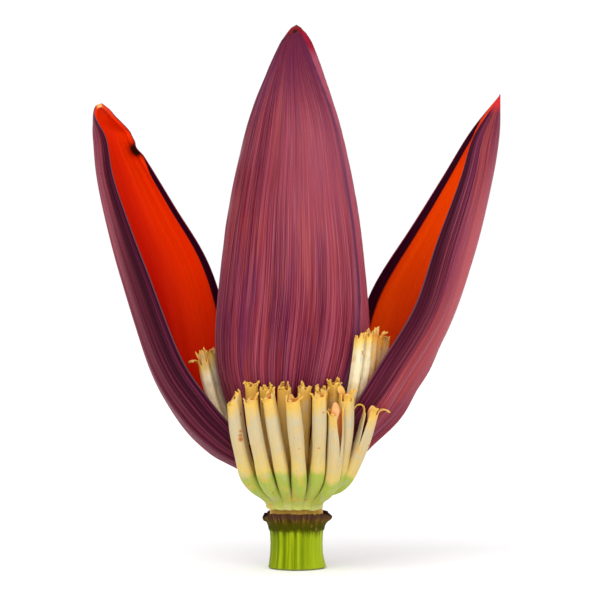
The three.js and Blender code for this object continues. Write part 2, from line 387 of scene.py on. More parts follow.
bpy.ops.object.mode_set(mode="OBJECT")
tear = random.Random(11)
notches = [
    (tear.uniform(-math.pi, math.pi), tear.uniform(0.04, 0.16), tear.uniform(-1.0, 0.7))
    for _ in range(COLLAR_TEARS)
]
for vertex in collar.data.vertices:
    turn = math.atan2(vertex.co.x, -vertex.co.y)
    rise = (vertex.co.z - COLLAR_FOOT) / (COLLAR_TOP - COLLAR_FOOT)
    torn = sum(deep * hump((turn - at + math.pi) % math.tau - math.pi, 0, wide) for at, wide, deep in notches)
    corner = 2.0 * hump(turn, 1.5, 0.45) + 0.9 * hump(turn, -1.5, 0.45) + 0.6 * hump(abs(turn), math.pi, 0.5)
    sides = -2.2 * hump(turn, 1.5, 0.6) - 3.0 * hump(turn, -1.5, 0.7)
    vertex.co.z += ease(rise, 0.4, 1.0) * (torn * 0.6 + sides) * MM
    flare = 0.7 * min(1.0, rise / 0.35) + 2.0 * ease(rise, 0.3, 1.0)
    crumple = 0.2 * math.sin(7 * turn + 1) + 0.1 * math.sin(17 * turn) + 0.05 * math.sin(41 * turn + 3 * rise)
    vertex.co.xy *= 1 + (flare + ease(rise, 0.2, 0.7) * (crumple + 0.9 * corner)) * MM / STEM_RADIUS
wall = collar.modifiers.new("wall", "SOLIDIFY")
wall.thickness = COLLAR_THICKNESS
wall.offset = 0
apply_modifiers(collar)
bpy.ops.object.shade_smooth_by_angle(angle=math.radians(50))
collar.data.materials.append(collar_finish())
dress(collar, "torn_bract_collar")

# ---------------------------------------------------------------------------------------------
# Closed bud. Leathery bracts rolled tightly round each other into a spindle, maroon outside
# with fine lengthwise fibres and a thin waxy bloom, painted as a paler mauve sheen towards the
# outline. The front one wraps the bud and laps over the next, whose pinker edge shows beside it;
# the innermost ones show only at the tip.
BUD_FLATTENING = 0.85
bud_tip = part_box("bud_heart")[1][2]
BUD_LEAN = 1.2 * MM
BUD_WALL = 1.2 * MM
BUD_LAYER = 2.2 * MM
# Half-width and height, in millimetres, from the foot up to just under the tip.
BUD_SHAPE = [
    (10, 54), (28, 70), (39.3, 97), (42.3, 122), (39.4, 160), (34.6, 196), (25.4, 237), (15.8, 263),
    (9.4, 277.5), (6.3, 283), (3.6, 286.6), (1.7, 288.5),
]
BUD_OUTLINE = [(half_width * MM, height * MM) for half_width, height in BUD_SHAPE] + [(0.0, bud_tip)]


@functools.lru_cache(maxsize=None)
def bud_half_width(height):
    low, high = 0.0, 1.0
    for _ in range(26):
        middle = (low + high) / 2
        if smooth_run(BUD_OUTLINE, middle)[1] < height:
            low = middle
        else:
            high = middle
    return max(0.0, smooth_run(BUD_OUTLINE, low)[0])


def layer_step(height):
    """Layers lie a full bract apart along the body and close up towards the tip."""
    return BUD_LAYER * min(max((bud_tip - 7 * MM - height) / (35 * MM), 0.06), 1.0)


def on_bud(height, azimuth, depth):
    radius = max(0.0, bud_half_width(height) - depth)
    turn = math.radians(azimuth)
    lean = BUD_LEAN * (1 - (height / bud_tip) ** 2)
    return Vector((radius * math.sin(turn) - lean, -radius * BUD_FLATTENING * math.cos(turn), height))


def shaped_sheet(name, columns, rows, place, outward=True):
    """A grid whose corners are carried to place(across, along), both from 0 to 1."""
    bpy.ops.object.select_all(action="DESELECT")
    bpy.ops.mesh.primitive_grid_add(x_subdivisions=columns, y_subdivisions=rows, size=2, location=(0, 0, 0))
    sheet = bpy.context.object
    sheet.name = sheet.data.name = name
    for vertex in sheet.data.vertices:
        across = round((vertex.co.x + 1) / 2 * columns) / columns
        along = round((vertex.co.y + 1) / 2 * rows) / rows
        vertex.co = place(across, along)
    bpy.ops.object.mode_set(mode="EDIT")
    bpy.ops.mesh.select_all(action="SELECT")
    bpy.ops.mesh.remove_doubles(threshold=0.004 * MM)
    if not outward:
        bpy.ops.mesh.flip_normals()
    bpy.ops.object.mode_set(mode="OBJECT")
    return sheet


def thicken(sheet, thickness, thin_edge, edge_share, finishes):
    """Gives a sheet its wall, inwards, thinning towards its side edges, and its two finishes."""
    for finish in finishes:
        sheet.data.materials.append(finish)
    body = sheet.vertex_groups.new(name="body")
    layer = sheet.data.uv_layers.active.data
    for loop, corner in zip(sheet.data.loops, layer):
        from_edge = min(corner.uv[0], 1 - corner.uv[0], (1 - corner.uv[1]) * 2)
        body.add([loop.vertex_index], ease(from_edge, 0.0, edge_share), "REPLACE")
    wall = sheet.modifiers.new("wall", "SOLIDIFY")
    wall.thickness = thickness
    wall.offset = -1
    wall.vertex_group = "body"
    wall.thickness_vertex_group = thin_edge
    wall.material_offset = 1
    wall.material_offset_rim = 0
    apply_modifiers(sheet)
    sheet.vertex_groups.clear()
    bpy.ops.object.shade_smooth()


def bract_skin(
    name, seed, front_band=None, pinkness=0.0, red_tip=1.1, tip_shade=(0, 0, 0), dusky_top=0.0,
    lit=None, lap=False, marks=()
):
    """The outer face of a bract. front_band is the reach of the dark zone by its front edge, low
    down, half-way and near the tip, and its depth; the zone is the bract's own dark purple, and painted
    shade where it widens low down. lit is where across it a paler zone of painted highlight starts and
    is full, its strength and its colour. lap draws the dark line of an edge that laps over the
    next bract, and a painted pale sheen where that edge is seen edge-on. Each mark is a place, its
    inner and outer radius and its colour."""
    made, tree, shader = new_finish(name)
    uv, across, along = sheet_place(tree)
    place = own_place(tree)
    broad = streaks(tree, uv, 22.0, 1.0, seed)
    fine = streaks(tree, uv, 120.0, 1.7, seed + 3)
    hair = streaks(tree, uv, 330.0, 3.0, seed + 6)
    warm = streaks(tree, uv, 9.0, 2.4, seed + 9)
    cool = streaks(tree, uv, 7.0, 2.0, seed + 14)
    maroons = [(0.14, (66, 8, 32)), (0.36, (92, 20, 44)), (0.58, (118, 34, 52)), (0.86, (154, 66, 80))]
    body = colour_run(tree, plus(tree, times(tree, broad, 0.45), times(tree, fine, 0.55)), maroons)
    body = tint(tree, times(tree, grade(tree, warm, 0.42, 0.95), 0.6), body, colour(140, 48, 42))
    body = tint(tree, times(tree, grade(tree, cool, 0.45, 0.95), 0.5), body, colour(86, 26, 70))
    if pinkness:
        body = tint(tree, pinkness, body, colour(178, 82, 104))
    # Painted sheen: the waxy bloom shows as a paler mauve where the surface turns away from the view.
    bloom = add_node(tree, "ShaderNodeLayerWeight", {0: 0.35}).outputs["Facing"]
    waxy_sheen = times(tree, grade(tree, bloom, 0.25, 0.95), 0.5)
    body = tint(tree, waxy_sheen, body, colour(174, 106, 126))
    # Painted highlight: a paler zone where the light falls across the bract.
    if lit:
        start, full, strength, shade = lit
        zone = times(tree, grade(tree, across, start, full), grade(tree, along, 0.95, 0.7))
        zone = times(tree, zone, grade(tree, along, 0.3, 0.7))
        body = tint(tree, times(tree, zone, strength), body, colour(*shade))
    if lap:
        lapped = times(tree, grade(tree, across, 0.94, 0.99), 0.65)
        body = tint(tree, lapped, body, colour(76, 44, 80))
        # Painted sheen: the lapping edge turns pale where it is seen edge-on.
        edge_sheen = times(tree, grade(tree, bloom, 0.5, 0.9), 0.7)
        body = tint(tree, edge_sheen, body, colour(158, 126, 146))
    pale = times(tree, grade(tree, hair, 0.55, 0.9), 0.42)
    body = tint(tree, pale, body, colour(188, 112, 122))
    if dusky_top:
        dusky = times(tree, grade(tree, along, 0.76, 0.97), dusky_top)
        body = tint(tree, dusky, body, colour(88, 26, 62))
    # The dark zone by the front edge is the bract's own dark purple, and painted shade where it widens low
    # down beside the flowers.
    if front_band:
        ragged = times(tree, minus(tree, broad, 0.5), 0.05)
        low, middle, high, depth = front_band
        reach = times(tree, grade(tree, along, 0.8, 0.5), middle - high)
        lower = times(tree, grade(tree, along, 0.55, 0.25), low - middle)
        reach = plus(tree, plus(tree, reach, lower), high)
        gone = maths(tree, "DIVIDE", plus(tree, across, ragged), reach)
        purples = [(0.25, (34, 0, 14)), (0.62, (56, 6, 30)), (0.9, (96, 32, 56))]
        dark = colour_run(tree, fine, purples)
        body = tint(tree, times(tree, grade(tree, gone, 1.9, 0.25), depth), body, dark)
        # Painted highlight: a thin pale line right along the front edge.
        rim = times(tree, grade(tree, across, 0.006, 0.002), 0.6)
        body = tint(tree, rim, body, colour(112, 78, 92))
    if red_tip < 1:
        body = tint(tree, grade(tree, along, red_tip, red_tip + 0.035), body, colour(*tip_shade))
    for centre, near, far, shade in marks:
        body = tint(tree, spot(tree, place, centre, near, far), body, shade)
    coat(tree, shader, body, specular=0.04)
    tree.links.new(plus(tree, times(tree, fine, 0.14), 0.4), shader.inputs["Roughness"])
    relief = plus(tree, fine, times(tree, hair, 0.35))
    relief = plus(tree, relief, times(tree, broad, 1.6))
    raise_relief(tree, shader, relief, 0.5, 0.0006)
    return made


def bract_lining(name, seed, glow, shade_ends=(0.85, 0.62), margin=0.0, margin_top=1.0, marks=()):
    """The inner face of a bract: orange-red, darker low down and deep in the boat, between the
    shade_ends across it, with a painted paler band a little above the foot against the shade there,
    and dark purple along its back edge as far up as margin_top."""
    made, tree, shader = new_finish(name)
    uv, across, along = sheet_place(tree)
    place = own_place(tree)
    broad = streaks(tree, uv, 9.0, 1.2, seed)
    fine = streaks(tree, uv, 80.0, 1.6, seed + 4)
    # Painted light: the stop a little above the foot is paler than the glow, against the shade low in the
    # boat.
    lit_glow = (min(255, glow[0] * 1.14), glow[1] * 1.14, 0)
    reds = [
        (0.08, (160, 2, 0)), (0.24, (226, 15, 0)), (0.42, lit_glow), (0.62, glow), (0.82, glow),
        (0.91, (224, 60, 26)), (1.0, (222, 70, 44)),
    ]
    body = colour_run(tree, along, reds)
    body = tint(tree, times(tree, broad, 0.3), body, colour(230, 66, 0))
    body = tint(tree, times(tree, fine, 0.2), body, colour(204, 22, 0))
    by_front = grade(tree, across, shade_ends[0], shade_ends[1])
    deep = times(tree, by_front, grade(tree, along, 0.85, 0.4))
    body = tint(tree, times(tree, deep, 0.8), body, colour(176, 2, 0))
    if margin:
        ragged = times(tree, minus(tree, fine, 0.5), 0.008)
        below = grade(tree, along, margin_top + 0.03, margin_top - 0.04)
        start = minus(tree, 1.0, times(tree, below, margin))
        beyond = minus(tree, plus(tree, across, ragged), start)
        body = tint(tree, grade(tree, beyond, -0.004, 0.008), body, colour(44, 4, 26))
    for centre, near, far, shade in marks:
        body = tint(tree, spot(tree, place, centre, near, far), body, shade)
    coat(tree, shader, body, roughness=0.5, specular=0.03)
    raise_relief(tree, shader, fine, 0.2, 0.0004)
    return made


def rolled_bract(name, layer, foot, tip, left_edge, right_edge, closing, tip_azimuth, folds, finishes):
    """One closed bract of the bud, between the azimuths of its left and right edges."""

    def place(across, along):
        height = mix(foot, tip, along)
        past = max(0.0, (height - (tip - closing)) / closing)
        spread = math.sqrt(max(0.0, 1 - past**2))
        left = mix(tip_azimuth, smooth_run(left_edge, along)[0], spread)
        right = mix(tip_azimuth, smooth_run(right_edge, along)[0], spread)
        azimuth = mix(left, right, across)
        low_share = 1 - ease(along, 0.02, 0.45)
        relief = 0.0
        for at, wide, deep in folds:
            relief -= deep * hump(azimuth + 6 * along, at, wide) * low_share
        relief += 0.10 * math.sin(azimuth * 1.9 + 3 * along) + 0.06 * math.sin(azimuth * 4.3 - 5 * along)
        relief += 0.35 * hump(across, 1.0, 0.035) * spread
        return on_bud(height, azimuth, layer * layer_step(height) - relief * MM * spread)

    sheet = shaped_sheet(name, 150, 150, place)
    thicken(sheet, BUD_WALL, 0.35, 0.03, finishes)
    return sheet


def azimuths(*degrees):
    return [(value, 0.0) for value in degrees]


fold_places = random.Random(5)
FRONT_FOLDS = [
    (-88 + 11 * i + fold_places.uniform(-3, 3), fold_places.uniform(3, 5.5), fold_places.uniform(0.4, 1.3))
    for i in range(16)
]
ring_folds = [(azimuth + shift, wide, deep) for shift in (0, 176) for azimuth, wide, deep in FRONT_FOLDS]

bud_lining = bract_lining("bud_bract_lining", 40, (190, 40, 20))
BUD_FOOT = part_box("bud_front_bract")[0][2] - 2 * MM
bud_front = rolled_bract(
    "bud_front",
    layer=0,
    foot=BUD_FOOT,
    tip=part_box("bud_front_bract")[1][2] + 1.5 * MM,
    left_edge=azimuths(-70, -94, -98, -96, -94, -90),
    right_edge=azimuths(25, 46, 57, 56, 54, 32),
    closing=7 * MM,
    tip_azimuth=12,
    folds=FRONT_FOLDS,
    finishes=[
        bract_skin("bud_front_skin", 20, dusky_top=0.55, lit=(0.35, 0.75, 0.4, (186, 92, 104)), lap=True),
        bud_lining,
    ],
)
dress(bud_front, "bud_front_bract")
bud_right = rolled_bract(
    "bud_right",
    layer=1,
    foot=BUD_FOOT,
    tip=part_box("bud_right_bract")[1][2] + 4.5 * MM,
    left_edge=azimuths(5, 25, 40, 35, 30, 5),
    right_edge=azimuths(165, 195, 205, 200, 195, 180),
    closing=8 * MM,
    tip_azimuth=60,
    folds=ring_folds,
    finishes=[
        bract_skin("bud_right_skin", 60, pinkness=0.8, red_tip=0.93, tip_shade=(156, 24, 50)),
        bud_lining,
    ],
)
dress(bud_right, "bud_right_bract")
bud_back = rolled_bract(
    "bud_back",
    layer=2,
    foot=BUD_FOOT,
    tip=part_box("bud_back_bract")[1][2],
    left_edge=azimuths(150, 155, 160, 160, 160, 165),
    right_edge=azimuths(280, 300, 305, 300, 300, 295),
    closing=14 * MM,
    tip_azimuth=232,
    folds=ring_folds,
    finishes=[bract_skin("bud_back_skin", 80), bud_lining],
)
dress(bud_back, "bud_back_bract")

HEART_FOOT = 54.5 * MM
HEART_LAYER = 3.1


def heart_place(across, along):
    height = mix(HEART_FOOT, bud_tip, along)
    pucker = 0.25 * math.sin(math.radians(360 * across * 5 + 900 * along)) * ease(along, 0.9, 0.97)
    return on_bud(height, 360 * across, HEART_LAYER * layer_step(height) - pucker * MM)


def heart_finish():
    made, tree, shader = new_finish("bud_heart_skin")
    place = own_place(tree)
    height = add_node(tree, "ShaderNodeSeparateXYZ", {0: place}).outputs[2]
    fibres = streaks(tree, sheet_place(tree)[0], 60.0, 20.0, 90)
    body = colour_run(tree, fibres, [(0.0, (104, 34, 44)), (1.0, (156, 70, 76))])
    mottle = mottling(tree, place, 420.0, 4.0)
    dried = tint(tree, grade(tree, mottle, 0.46, 0.62), colour(128, 8, 24), colour(84, 38, 28))
    dried = tint(tree, band(tree, height, 286.5, 289), dried, colour(106, 56, 52))
    dark_eye = spot(tree, place, (-0.0006, -0.004, 0.2848), 0.0006, 0.0022)
    dried = tint(tree, dark_eye, dried, colour(44, 14, 14))
    body = tint(tree, band(tree, height, 274.5, 277), body, dried)
    coat(tree, shader, body, roughness=0.55, specular=0.05)
    raise_relief(tree, shader, mottle, 0.4, 0.0005)
    return made


heart = shaped_sheet("bud_heart_tip", 96, 140, heart_place)
bpy.ops.object.mode_set(mode="EDIT")
bpy.ops.mesh.select_all(action="SELECT")
bpy.ops.mesh.fill_holes(sides=0)
bpy.ops.object.mode_set(mode="OBJECT")
bpy.ops.object.shade_smooth()
heart.data.materials.append(heart_finish())
dress(heart, "bud_heart")

# ---------------------------------------------------------------------------------------------
# Opened bracts. Two outer bracts folded away from the bud, each a stiff boat of leathery tissue
# on a narrow foot round the rachis: maroon outside, smooth orange-red inside, with a dark
# purple margin along the back edge. They curl tighter and thin out towards their tips.
OPENED_WALL = 1.9 * MM


def opened_bract(name, side, stations, relief, skin, lining, node):
    """Each station: keel distance and height, drift to the back, lean, curl radius, curl angles."""

    def place(across, along):
        out, height, drift, lean, radius, front, back = smooth_run(stations, along)
        radius = max(radius, 0.0) * MM
        tilt = math.radians(lean)
        turn = math.radians(mix(-front, back, across))
        outward = Vector((side * math.cos(tilt), 0, -math.sin(tilt)))
        reach = radius + relief(across, along) * MM * min(1.0, radius / (6 * MM))
        keel = Vector((side * out * MM, drift * MM, height * MM))
        return keel + outward * (reach * math.cos(turn) - radius) + Vector((0, reach * math.sin(turn), 0))

    sheet = shaped_sheet(name, 130, 190, place, outward=side > 0)
    thicken(sheet, OPENED_WALL, 0.3, 0.05, [skin, lining])
    dress(sheet, node)
    return sheet


LEFT_STATIONS = [
    (13.2, 46, 0, 0, 13.2, 72, 72),
    (22, 48.6, 2, 18, 17, 72, 70),
    (32, 53, 4, 34, 22, 72, 74),
    (46.5, 60.6, 6, 45, 29.5, 72, 86),
    (63, 77.5, 6, 38, 33.5, 70, 98),
    (78.4, 105, 5, 24, 33, 66, 112),
    (93.5, 153, 4, 16, 26.5, 66, 138),
    (101.5, 183.5, 3, 13, 21.5, 64, 139),
    (106.4, 208, 2, 8, 17, 62, 139),
    (108.4, 228, 1, 0, 12.4, 67, 139),
    (108.5, 236.5, 1, -10, 11, 48, 140),
    (108.2, 241.5, 0, -15, 8.7, 24, 140),
    (107.4, 244.8, 0, -20, 6.4, 12, 140),
    (106.0, 246.4, 0, -20, 4.0, 8, 140),
    (103.4, 247.2, 0, -20, 0, 8, 140),
]
NOTCH = (-86.0 * MM, 10 * MM, 223 * MM)
NOTCH_ALONG = 8.7 / (len(LEFT_STATIONS) - 1)


def left_relief(across, along):
    fine = 0.16 * math.sin(across * 46 + 5 * along) + 0.09 * math.sin(across * 97 - 8 * along)
    fine *= 1 - ease(along, 0.55, 0.75)
    low = 1 - ease(along, 0.25, 0.55)
    folds = 0.5 * math.sin(across * 24 + 7 * along) * low
    folds += 0.35 * math.sin(across * 61 - 3 * along) * low
    roll = 0.8 * hump(across, 0.0, 0.05) * ease(along, 0.3, 0.5) * (1 - ease(along, 0.6, 0.7))
    bite = -1.5 * ease(across, 0.9, 1.0) * hump(along, NOTCH_ALONG, 0.02)
    return fine + folds - roll + bite


dark_dot = ((-104.0 * MM, -1 * MM, 247 * MM), 0.5 * MM, 1.1 * MM, colour(20, 8, 4))
pale_dot = ((-104.5 * MM, -1 * MM, 245.6 * MM), 0.8 * MM, 2.4 * MM, colour(244, 178, 104))
opened_bract(
    "left_bract",
    -1,
    LEFT_STATIONS,
    left_relief,
    bract_skin(
        "left_bract_skin", 100, (0.26, 0.09, 0.05, 0.95), red_tip=0.88, tip_shade=(196, 46, 36),
        marks=[pale_dot, dark_dot],
    ),
    bract_lining(
        "left_bract_lining",
        120,
        (234, 44, 0),
        margin=0.045,
        margin_top=NOTCH_ALONG - 0.03,
        marks=[
            (NOTCH, 1.5 * MM, 8 * MM, colour(160, 18, 0)),
            (NOTCH, 2.2 * MM, 5 * MM, colour(40, 14, 4)),
            pale_dot,
            dark_dot,
        ],
    ),
    "left_open_bract",
)

RIGHT_STATIONS = [
    (13.2, 46.5, 0, 0, 13.2, 42, 72),
    (21.5, 50, 0, 8, 20.5, 46, 72),
    (30, 55.6, 0, 17, 28, 54, 72),
    (39.8, 65, 1, 28, 35, 64, 74),
    (54.7, 79.3, 1, 36, 35, 74, 88),
    (64.5, 95.8, 2, 30, 32, 77, 102),
    (82.8, 131.8, 2, 21, 30, 75, 120),
    (95.2, 168, 1, 18, 23, 88, 127),
    (103.8, 204, 0, 9, 17, 93, 122),
    (108.0, 230, 0, 3, 11, 104, 118),
    (108.5, 252, 0, 0, 0, 99, 124),
]


def right_relief(across, along):
    fine = 0.16 * math.sin(across * 52 - 4 * along) + 0.09 * math.sin(across * 101 + 6 * along)
    low = 1 - ease(along, 0.4, 0.7)
    folds = (0.9 * math.sin(across * 31 + 8 * along) + 0.55 * math.sin(across * 67 + 3)) * low
    bulge = 1.3 * hump(along, 0.53, 0.04) * hump(across, 0.42, 0.2)
    return fine * (1 - ease(along, 0.6, 0.8)) + folds + bulge


opened_bract(
    "right_bract",
    1,
    RIGHT_STATIONS,
    right_relief,
    bract_skin(
        "right_bract_skin", 140, (0.12, 0.06, 0.05, 0.85), pinkness=0.05, red_tip=0.945,
        tip_shade=(206, 46, 50), lit=(0.1, 0.26, 0.6, (200, 96, 100)),
    ),
    bract_lining("right_bract_lining", 160, (248, 84, 0), (0.93, 0.74), margin=0.055, margin_top=0.93),
    "right_open_bract",
)

# ---------------------------------------------------------------------------------------------
# Finger flowers. Each is a waxy cream tube, faintly ribbed, on a green foot that sits on the
# rachis. Its five petal lobes are joined into the tube and come free only at the tip, where
# they are yellow, ragged and curled. They stand side by side in hands.
FLOWER_SIDES = 20
LOBES = 5
SIDES_PER_LOBE = FLOWER_SIDES // LOBES
FLOWER_WALL = 0.75 * MM
TUBE_ROWS = 30
LOBE_ROWS = 9
MOUTH_ROW = TUBE_ROWS / (TUBE_ROWS + LOBE_ROWS)
# Where along the flower's UV map the tube ends and the lobes begin.
MOUTH_SHARE = 0.93
# Girth at each stop of a climb, from the foot to the mouth, as a share of the flower's fullness.
GIRTH = [(share, 0.0) for share in (0.74, 0.66, 0.76, 0.95, 1.03, 0.97, 1.0, 0.92)]


def around(radius, azimuth, height, flattening=1.0):
    turn = math.radians(azimuth)
    return Vector((radius * math.sin(turn), -radius * flattening * math.cos(turn), height)) * MM


def flower_finish(name, seed, green_end, cream, tip, gold, marks=()):
    """Green up to green_end, then cream, turning yellow near the mouth."""
    made, tree, shader = new_finish(name)
    uv, _, along = sheet_place(tree)
    place = own_place(tree)
    fibres = streaks(tree, uv, 16.0, 2.0, seed)
    fine = streaks(tree, uv, 50.0, 5.0, seed + 2)
    mottle = mottling(tree, place, 110.0, 3.0)
    uneven = times(tree, minus(tree, mottle, 0.5), 0.1)
    uneven = plus(tree, uneven, times(tree, minus(tree, fibres, 0.5), 0.02))
    warm_cream = (cream[0] + 8, cream[1], cream[2] - 16)
    stops = [
        (0.0, (196, 196, 96)), (green_end * 0.45, (170, 180, 58)), (green_end - 0.02, (158, 178, 48)),
        (green_end + 0.02, (220, 190, 96)), (green_end + 0.14, warm_cream),
        (0.84, cream), (0.92, tip), (0.97, gold), (1.0, (230, 178, 76)),
    ]
    body = colour_run(tree, plus(tree, along, uneven), stops)
    body = tint(tree, times(tree, fine, 0.28), body, colour(186, 172, 124))
    blush = times(tree, grade(tree, mottle, 0.54, 0.72), 0.55)
    body = tint(tree, blush, body, colour(220, 170, 72))
    grey = times(tree, grade(tree, mottling(tree, place, 190.0, 2.0), 0.5, 0.7), 0.35)
    body = tint(tree, grey, body, colour(186, 176, 150))
    specks = times(tree, grade(tree, mottling(tree, place, 300.0, 1.0), 0.72, 0.78), 0.7)
    body = tint(tree, specks, body, colour(178, 104, 36))
    for centre, near, far, shade in marks:
        body = tint(tree, spot(tree, place, centre, near, far), body, shade)
    coat(tree, shader, body, roughness=0.5, specular=0.3)
    soften(shader, 0.15, (0.003, 0.002, 0.001))
    raise_relief(tree, shader, plus(tree, fibres, times(tree, fine, 0.5)), 0.5, 0.0005)
    return made


def throat_finish(name, deep, rim):
    made, tree, shader = new_finish(name)
    uv, _, along = sheet_place(tree)
    body = colour_run(tree, along, [(0.8, deep), (0.93, deep), (0.985, rim)])
    body = tint(tree, times(tree, streaks(tree, uv, 40, 6, 7), 0.3), body, colour(214, 164, 70))
    coat(tree, shader, body, roughness=0.5, specular=0.2)
    return made


def pistil_finish(name, shade):
    made, tree, shader = new_finish(name)
    body = tint(tree, mottling(tree, own_place(tree), 300.0, 3.0), colour(*shade), colour(236, 190, 120))
    coat(tree, shader, body)
    return made


STAIN_SHADE = colour(178, 100, 34)
STAINS = [
    (around(44.5, -40.5, 70.5), 0.3 * MM, 2.0 * MM, STAIN_SHADE),
    (around(44.9, -40.3, 72.6), 0.2 * MM, 1.6 * MM, STAIN_SHADE),
    (around(45.2, -39.9, 74.8), 0.1 * MM, 1.4 * MM, STAIN_SHADE),
]
FRONT_FINISHES = [
    flower_finish(
        "flower_cream", 200, 0.56, (200, 182, 144), (228, 184, 78), (236, 178, 48),
        marks=STAINS,
    ),
    throat_finish("flower_throat", (222, 140, 76), (222, 176, 84)),
    pistil_finish("pistil_orange", (226, 136, 84)),
]
# Painted shade: the second row behind the front flowers takes a darker, more golden copy of their finish, for
# its yellow tips in the front row's shade.
SECOND_ROW_SHADED_FINISHES = [
    flower_finish("flower_shaded", 220, 0.3, (208, 162, 74), (214, 158, 48), (230, 178, 62)),
    throat_finish("flower_shaded_throat", (168, 92, 22), (210, 160, 64)),
    FRONT_FINISHES[2],
]
# Painted light: the flowers in the bracts' axils take a paler cream than the front ones, against the shade
# the bracts cast there.
AXIL_LIT_FINISHES = [
    flower_finish("flower_axil", 240, 0.2, (244, 228, 190), (244, 200, 84), (230, 168, 50)),
    throat_finish("flower_axil_throat", (196, 110, 50), (220, 178, 96)),
    FRONT_FINISHES[2],
]


def finger_flower(
    name, node, climb, flattening, foot, tip, seed, finishes, waist=None, stretch=0, outward=0, lift=0,
    fullness=3.9, curl=(-0.6, 0.9), lobe_length=(2.0, 4.4), flare=0.0, split=0.9, gape=0.0, seam=None,
    slant=0, petals=(), pistil=None
):
    """One flower on its climb from the rachis, turning from its foot's azimuth to its tip's. stretch
    and outward move its mouth, and lift its foot. From split on, a share of the tube, the seam
    gapes, by gape radians at the mouth. slant is how far the mouth's right side stands above its
    middle. petals give each lobe's length and curl, which are else drawn within lobe_length and
    curl. pistil is how far up the tube the club sits, its length and its thickness."""
    if waist is None:
        waist = mix(foot, tip, 0.62)
    chance = random.Random(seed)
    path = []
    for step, (radius, height) in enumerate(climb):
        share = step / (len(climb) - 1)
        azimuth = smooth_run([(foot, 0.0), (waist, 0.0), (tip, 0.0)], share)[0]
        height += stretch * share + lift * (1 - share)
        path.append(around(radius + outward * share, azimuth, height, mix(1, flattening, share)))
    sideways = Vector((-path[0].y, path[0].x, 0)).normalized()
    wobble = [chance.uniform(0, math.tau) for _ in range(5)]
    lobes = [
        (chance.uniform(*lobe_length) * MM, chance.uniform(*curl), chance.uniform(-0.3, 0.3), chance.random())
        for _ in range(LOBES + 1)
    ]
    for lobe, (length, bend) in enumerate(petals):
        lobes[lobe] = (length * MM, bend, 0.0, 0.1)
    torn = [chance.uniform(0.55, 1.2) for _ in range(FLOWER_SIDES + 1)]
    twist = chance.uniform(0, math.tau) if seam is None else math.radians(seam)

    @functools.lru_cache(maxsize=None)
    def ring(row_share):
        share = min(row_share / MOUTH_ROW, 1.0)
        centre = smooth_run(path, share)
        ahead = (smooth_run(path, min(1, share + 0.02)) - smooth_run(path, max(0, share - 0.02))).normalized()
        side = (sideways - ahead * sideways.dot(ahead)).normalized()
        radius = smooth_run(GIRTH, share)[0] * fullness * MM * (1 + flare * ease(share, 0.55, 1.0))
        closing = math.sqrt(max(0.0, 1 - max(0.0, 1 - share / 0.03) ** 2))
        broad = 1 + 0.4 * (1 - ease(share, 0.05, 0.45))
        return centre, ahead, side * broad, ahead.cross(side), radius * closing

    def place(across, along):
        centre, ahead, side, upright, radius = ring(along)
        column = round(across * FLOWER_SIDES)
        share = min(along / MOUTH_ROW, 1.0)
        gap = gape * ease(share, split, 1.0)

        def angle(at):
            return gap / 2 + (math.tau - gap) * at / FLOWER_SIDES

        turn = angle(column)
        free = max(0.0, (along - MOUTH_ROW) / (1 - MOUTH_ROW))
        grow = 1 + 0.07 * math.cos(3 * turn + wobble[0]) + 0.05 * math.cos(5 * turn + wobble[1])
        grow *= 1 + 0.035 * math.sin(9 * share + wobble[2]) + 0.02 * math.sin(21 * share + wobble[3])
        if free <= 0:
            spoke = side * math.cos(turn + twist) + upright * math.sin(turn + twist)
            return centre + spoke * radius * grow + ahead * slant * MM * spoke.x * ease(share, 0.75, 1.0)
        lobe = column // SIDES_PER_LOBE
        length, bend, sway, point = lobes[lobe]
        middle = angle(lobe * SIDES_PER_LOBE + 1.5)
        pinch = 1 - (0.25 + 0.5 * point) * free**2.2
        turn = middle + (turn - middle) * pinch + sway * free
        spoke = side * math.cos(turn + twist) + upright * math.sin(turn + twist)
        length *= mix(1, torn[column], free)
        bent = bend if abs(bend) > 0.05 else 0.05
        rise = length * math.sin(bent * free) / bent
        lean = length * (1 - math.cos(bent * free)) / bent
        ruffle = 0.3 * MM * math.sin(11 * free + 5 * point) * free
        return centre + spoke * (radius * grow + lean + ruffle) + ahead * (rise + slant * MM * spoke.x)

    flower = shaped_sheet(name, FLOWER_SIDES, TUBE_ROWS + LOBE_ROWS, place)
    for finish in finishes:
        flower.data.materials.append(finish)
    layer = flower.data.uv_layers.active.data
    cut_from = MOUTH_ROW if petals else mix(MOUTH_ROW, 1, 0.25)
    for polygon in flower.data.polygons:
        corners = [layer[index].uv for index in polygon.loop_indices]
        column = int(sum(corner[0] for corner in corners) / len(corners) * FLOWER_SIDES)
        row = sum(corner[1] for corner in corners) / len(corners)
        depth = cut_from + chance.uniform(0, 0.08) * (1 - MOUTH_ROW)
        polygon.select = column % SIDES_PER_LOBE == SIDES_PER_LOBE - 1 and row > depth
    for corner in layer:
        v = corner.uv[1]
        if v < MOUTH_ROW:
            corner.uv[1] = v / MOUTH_ROW * MOUTH_SHARE
        else:
            corner.uv[1] = mix(MOUTH_SHARE, 1, (v - MOUTH_ROW) / (1 - MOUTH_ROW))
    bpy.ops.object.mode_set(mode="EDIT")
    bpy.ops.mesh.delete(type="FACE")
    bpy.ops.object.mode_set(mode="OBJECT")
    wall = flower.modifiers.new("wall", "SOLIDIFY")
    wall.thickness = FLOWER_WALL
    wall.offset = -1
    wall.material_offset = 1
    wall.material_offset_rim = 0
    soft = flower.modifiers.new("soft", "SUBSURF")
    soft.levels = soft.render_levels = 1
    apply_modifiers(flower)
    bpy.ops.object.shade_smooth()
    if pistil:
        add_pistil(flower, ring(MOUTH_ROW * pistil[0]), pistil[1], pistil[2])
    dress(flower, node)
    return flower


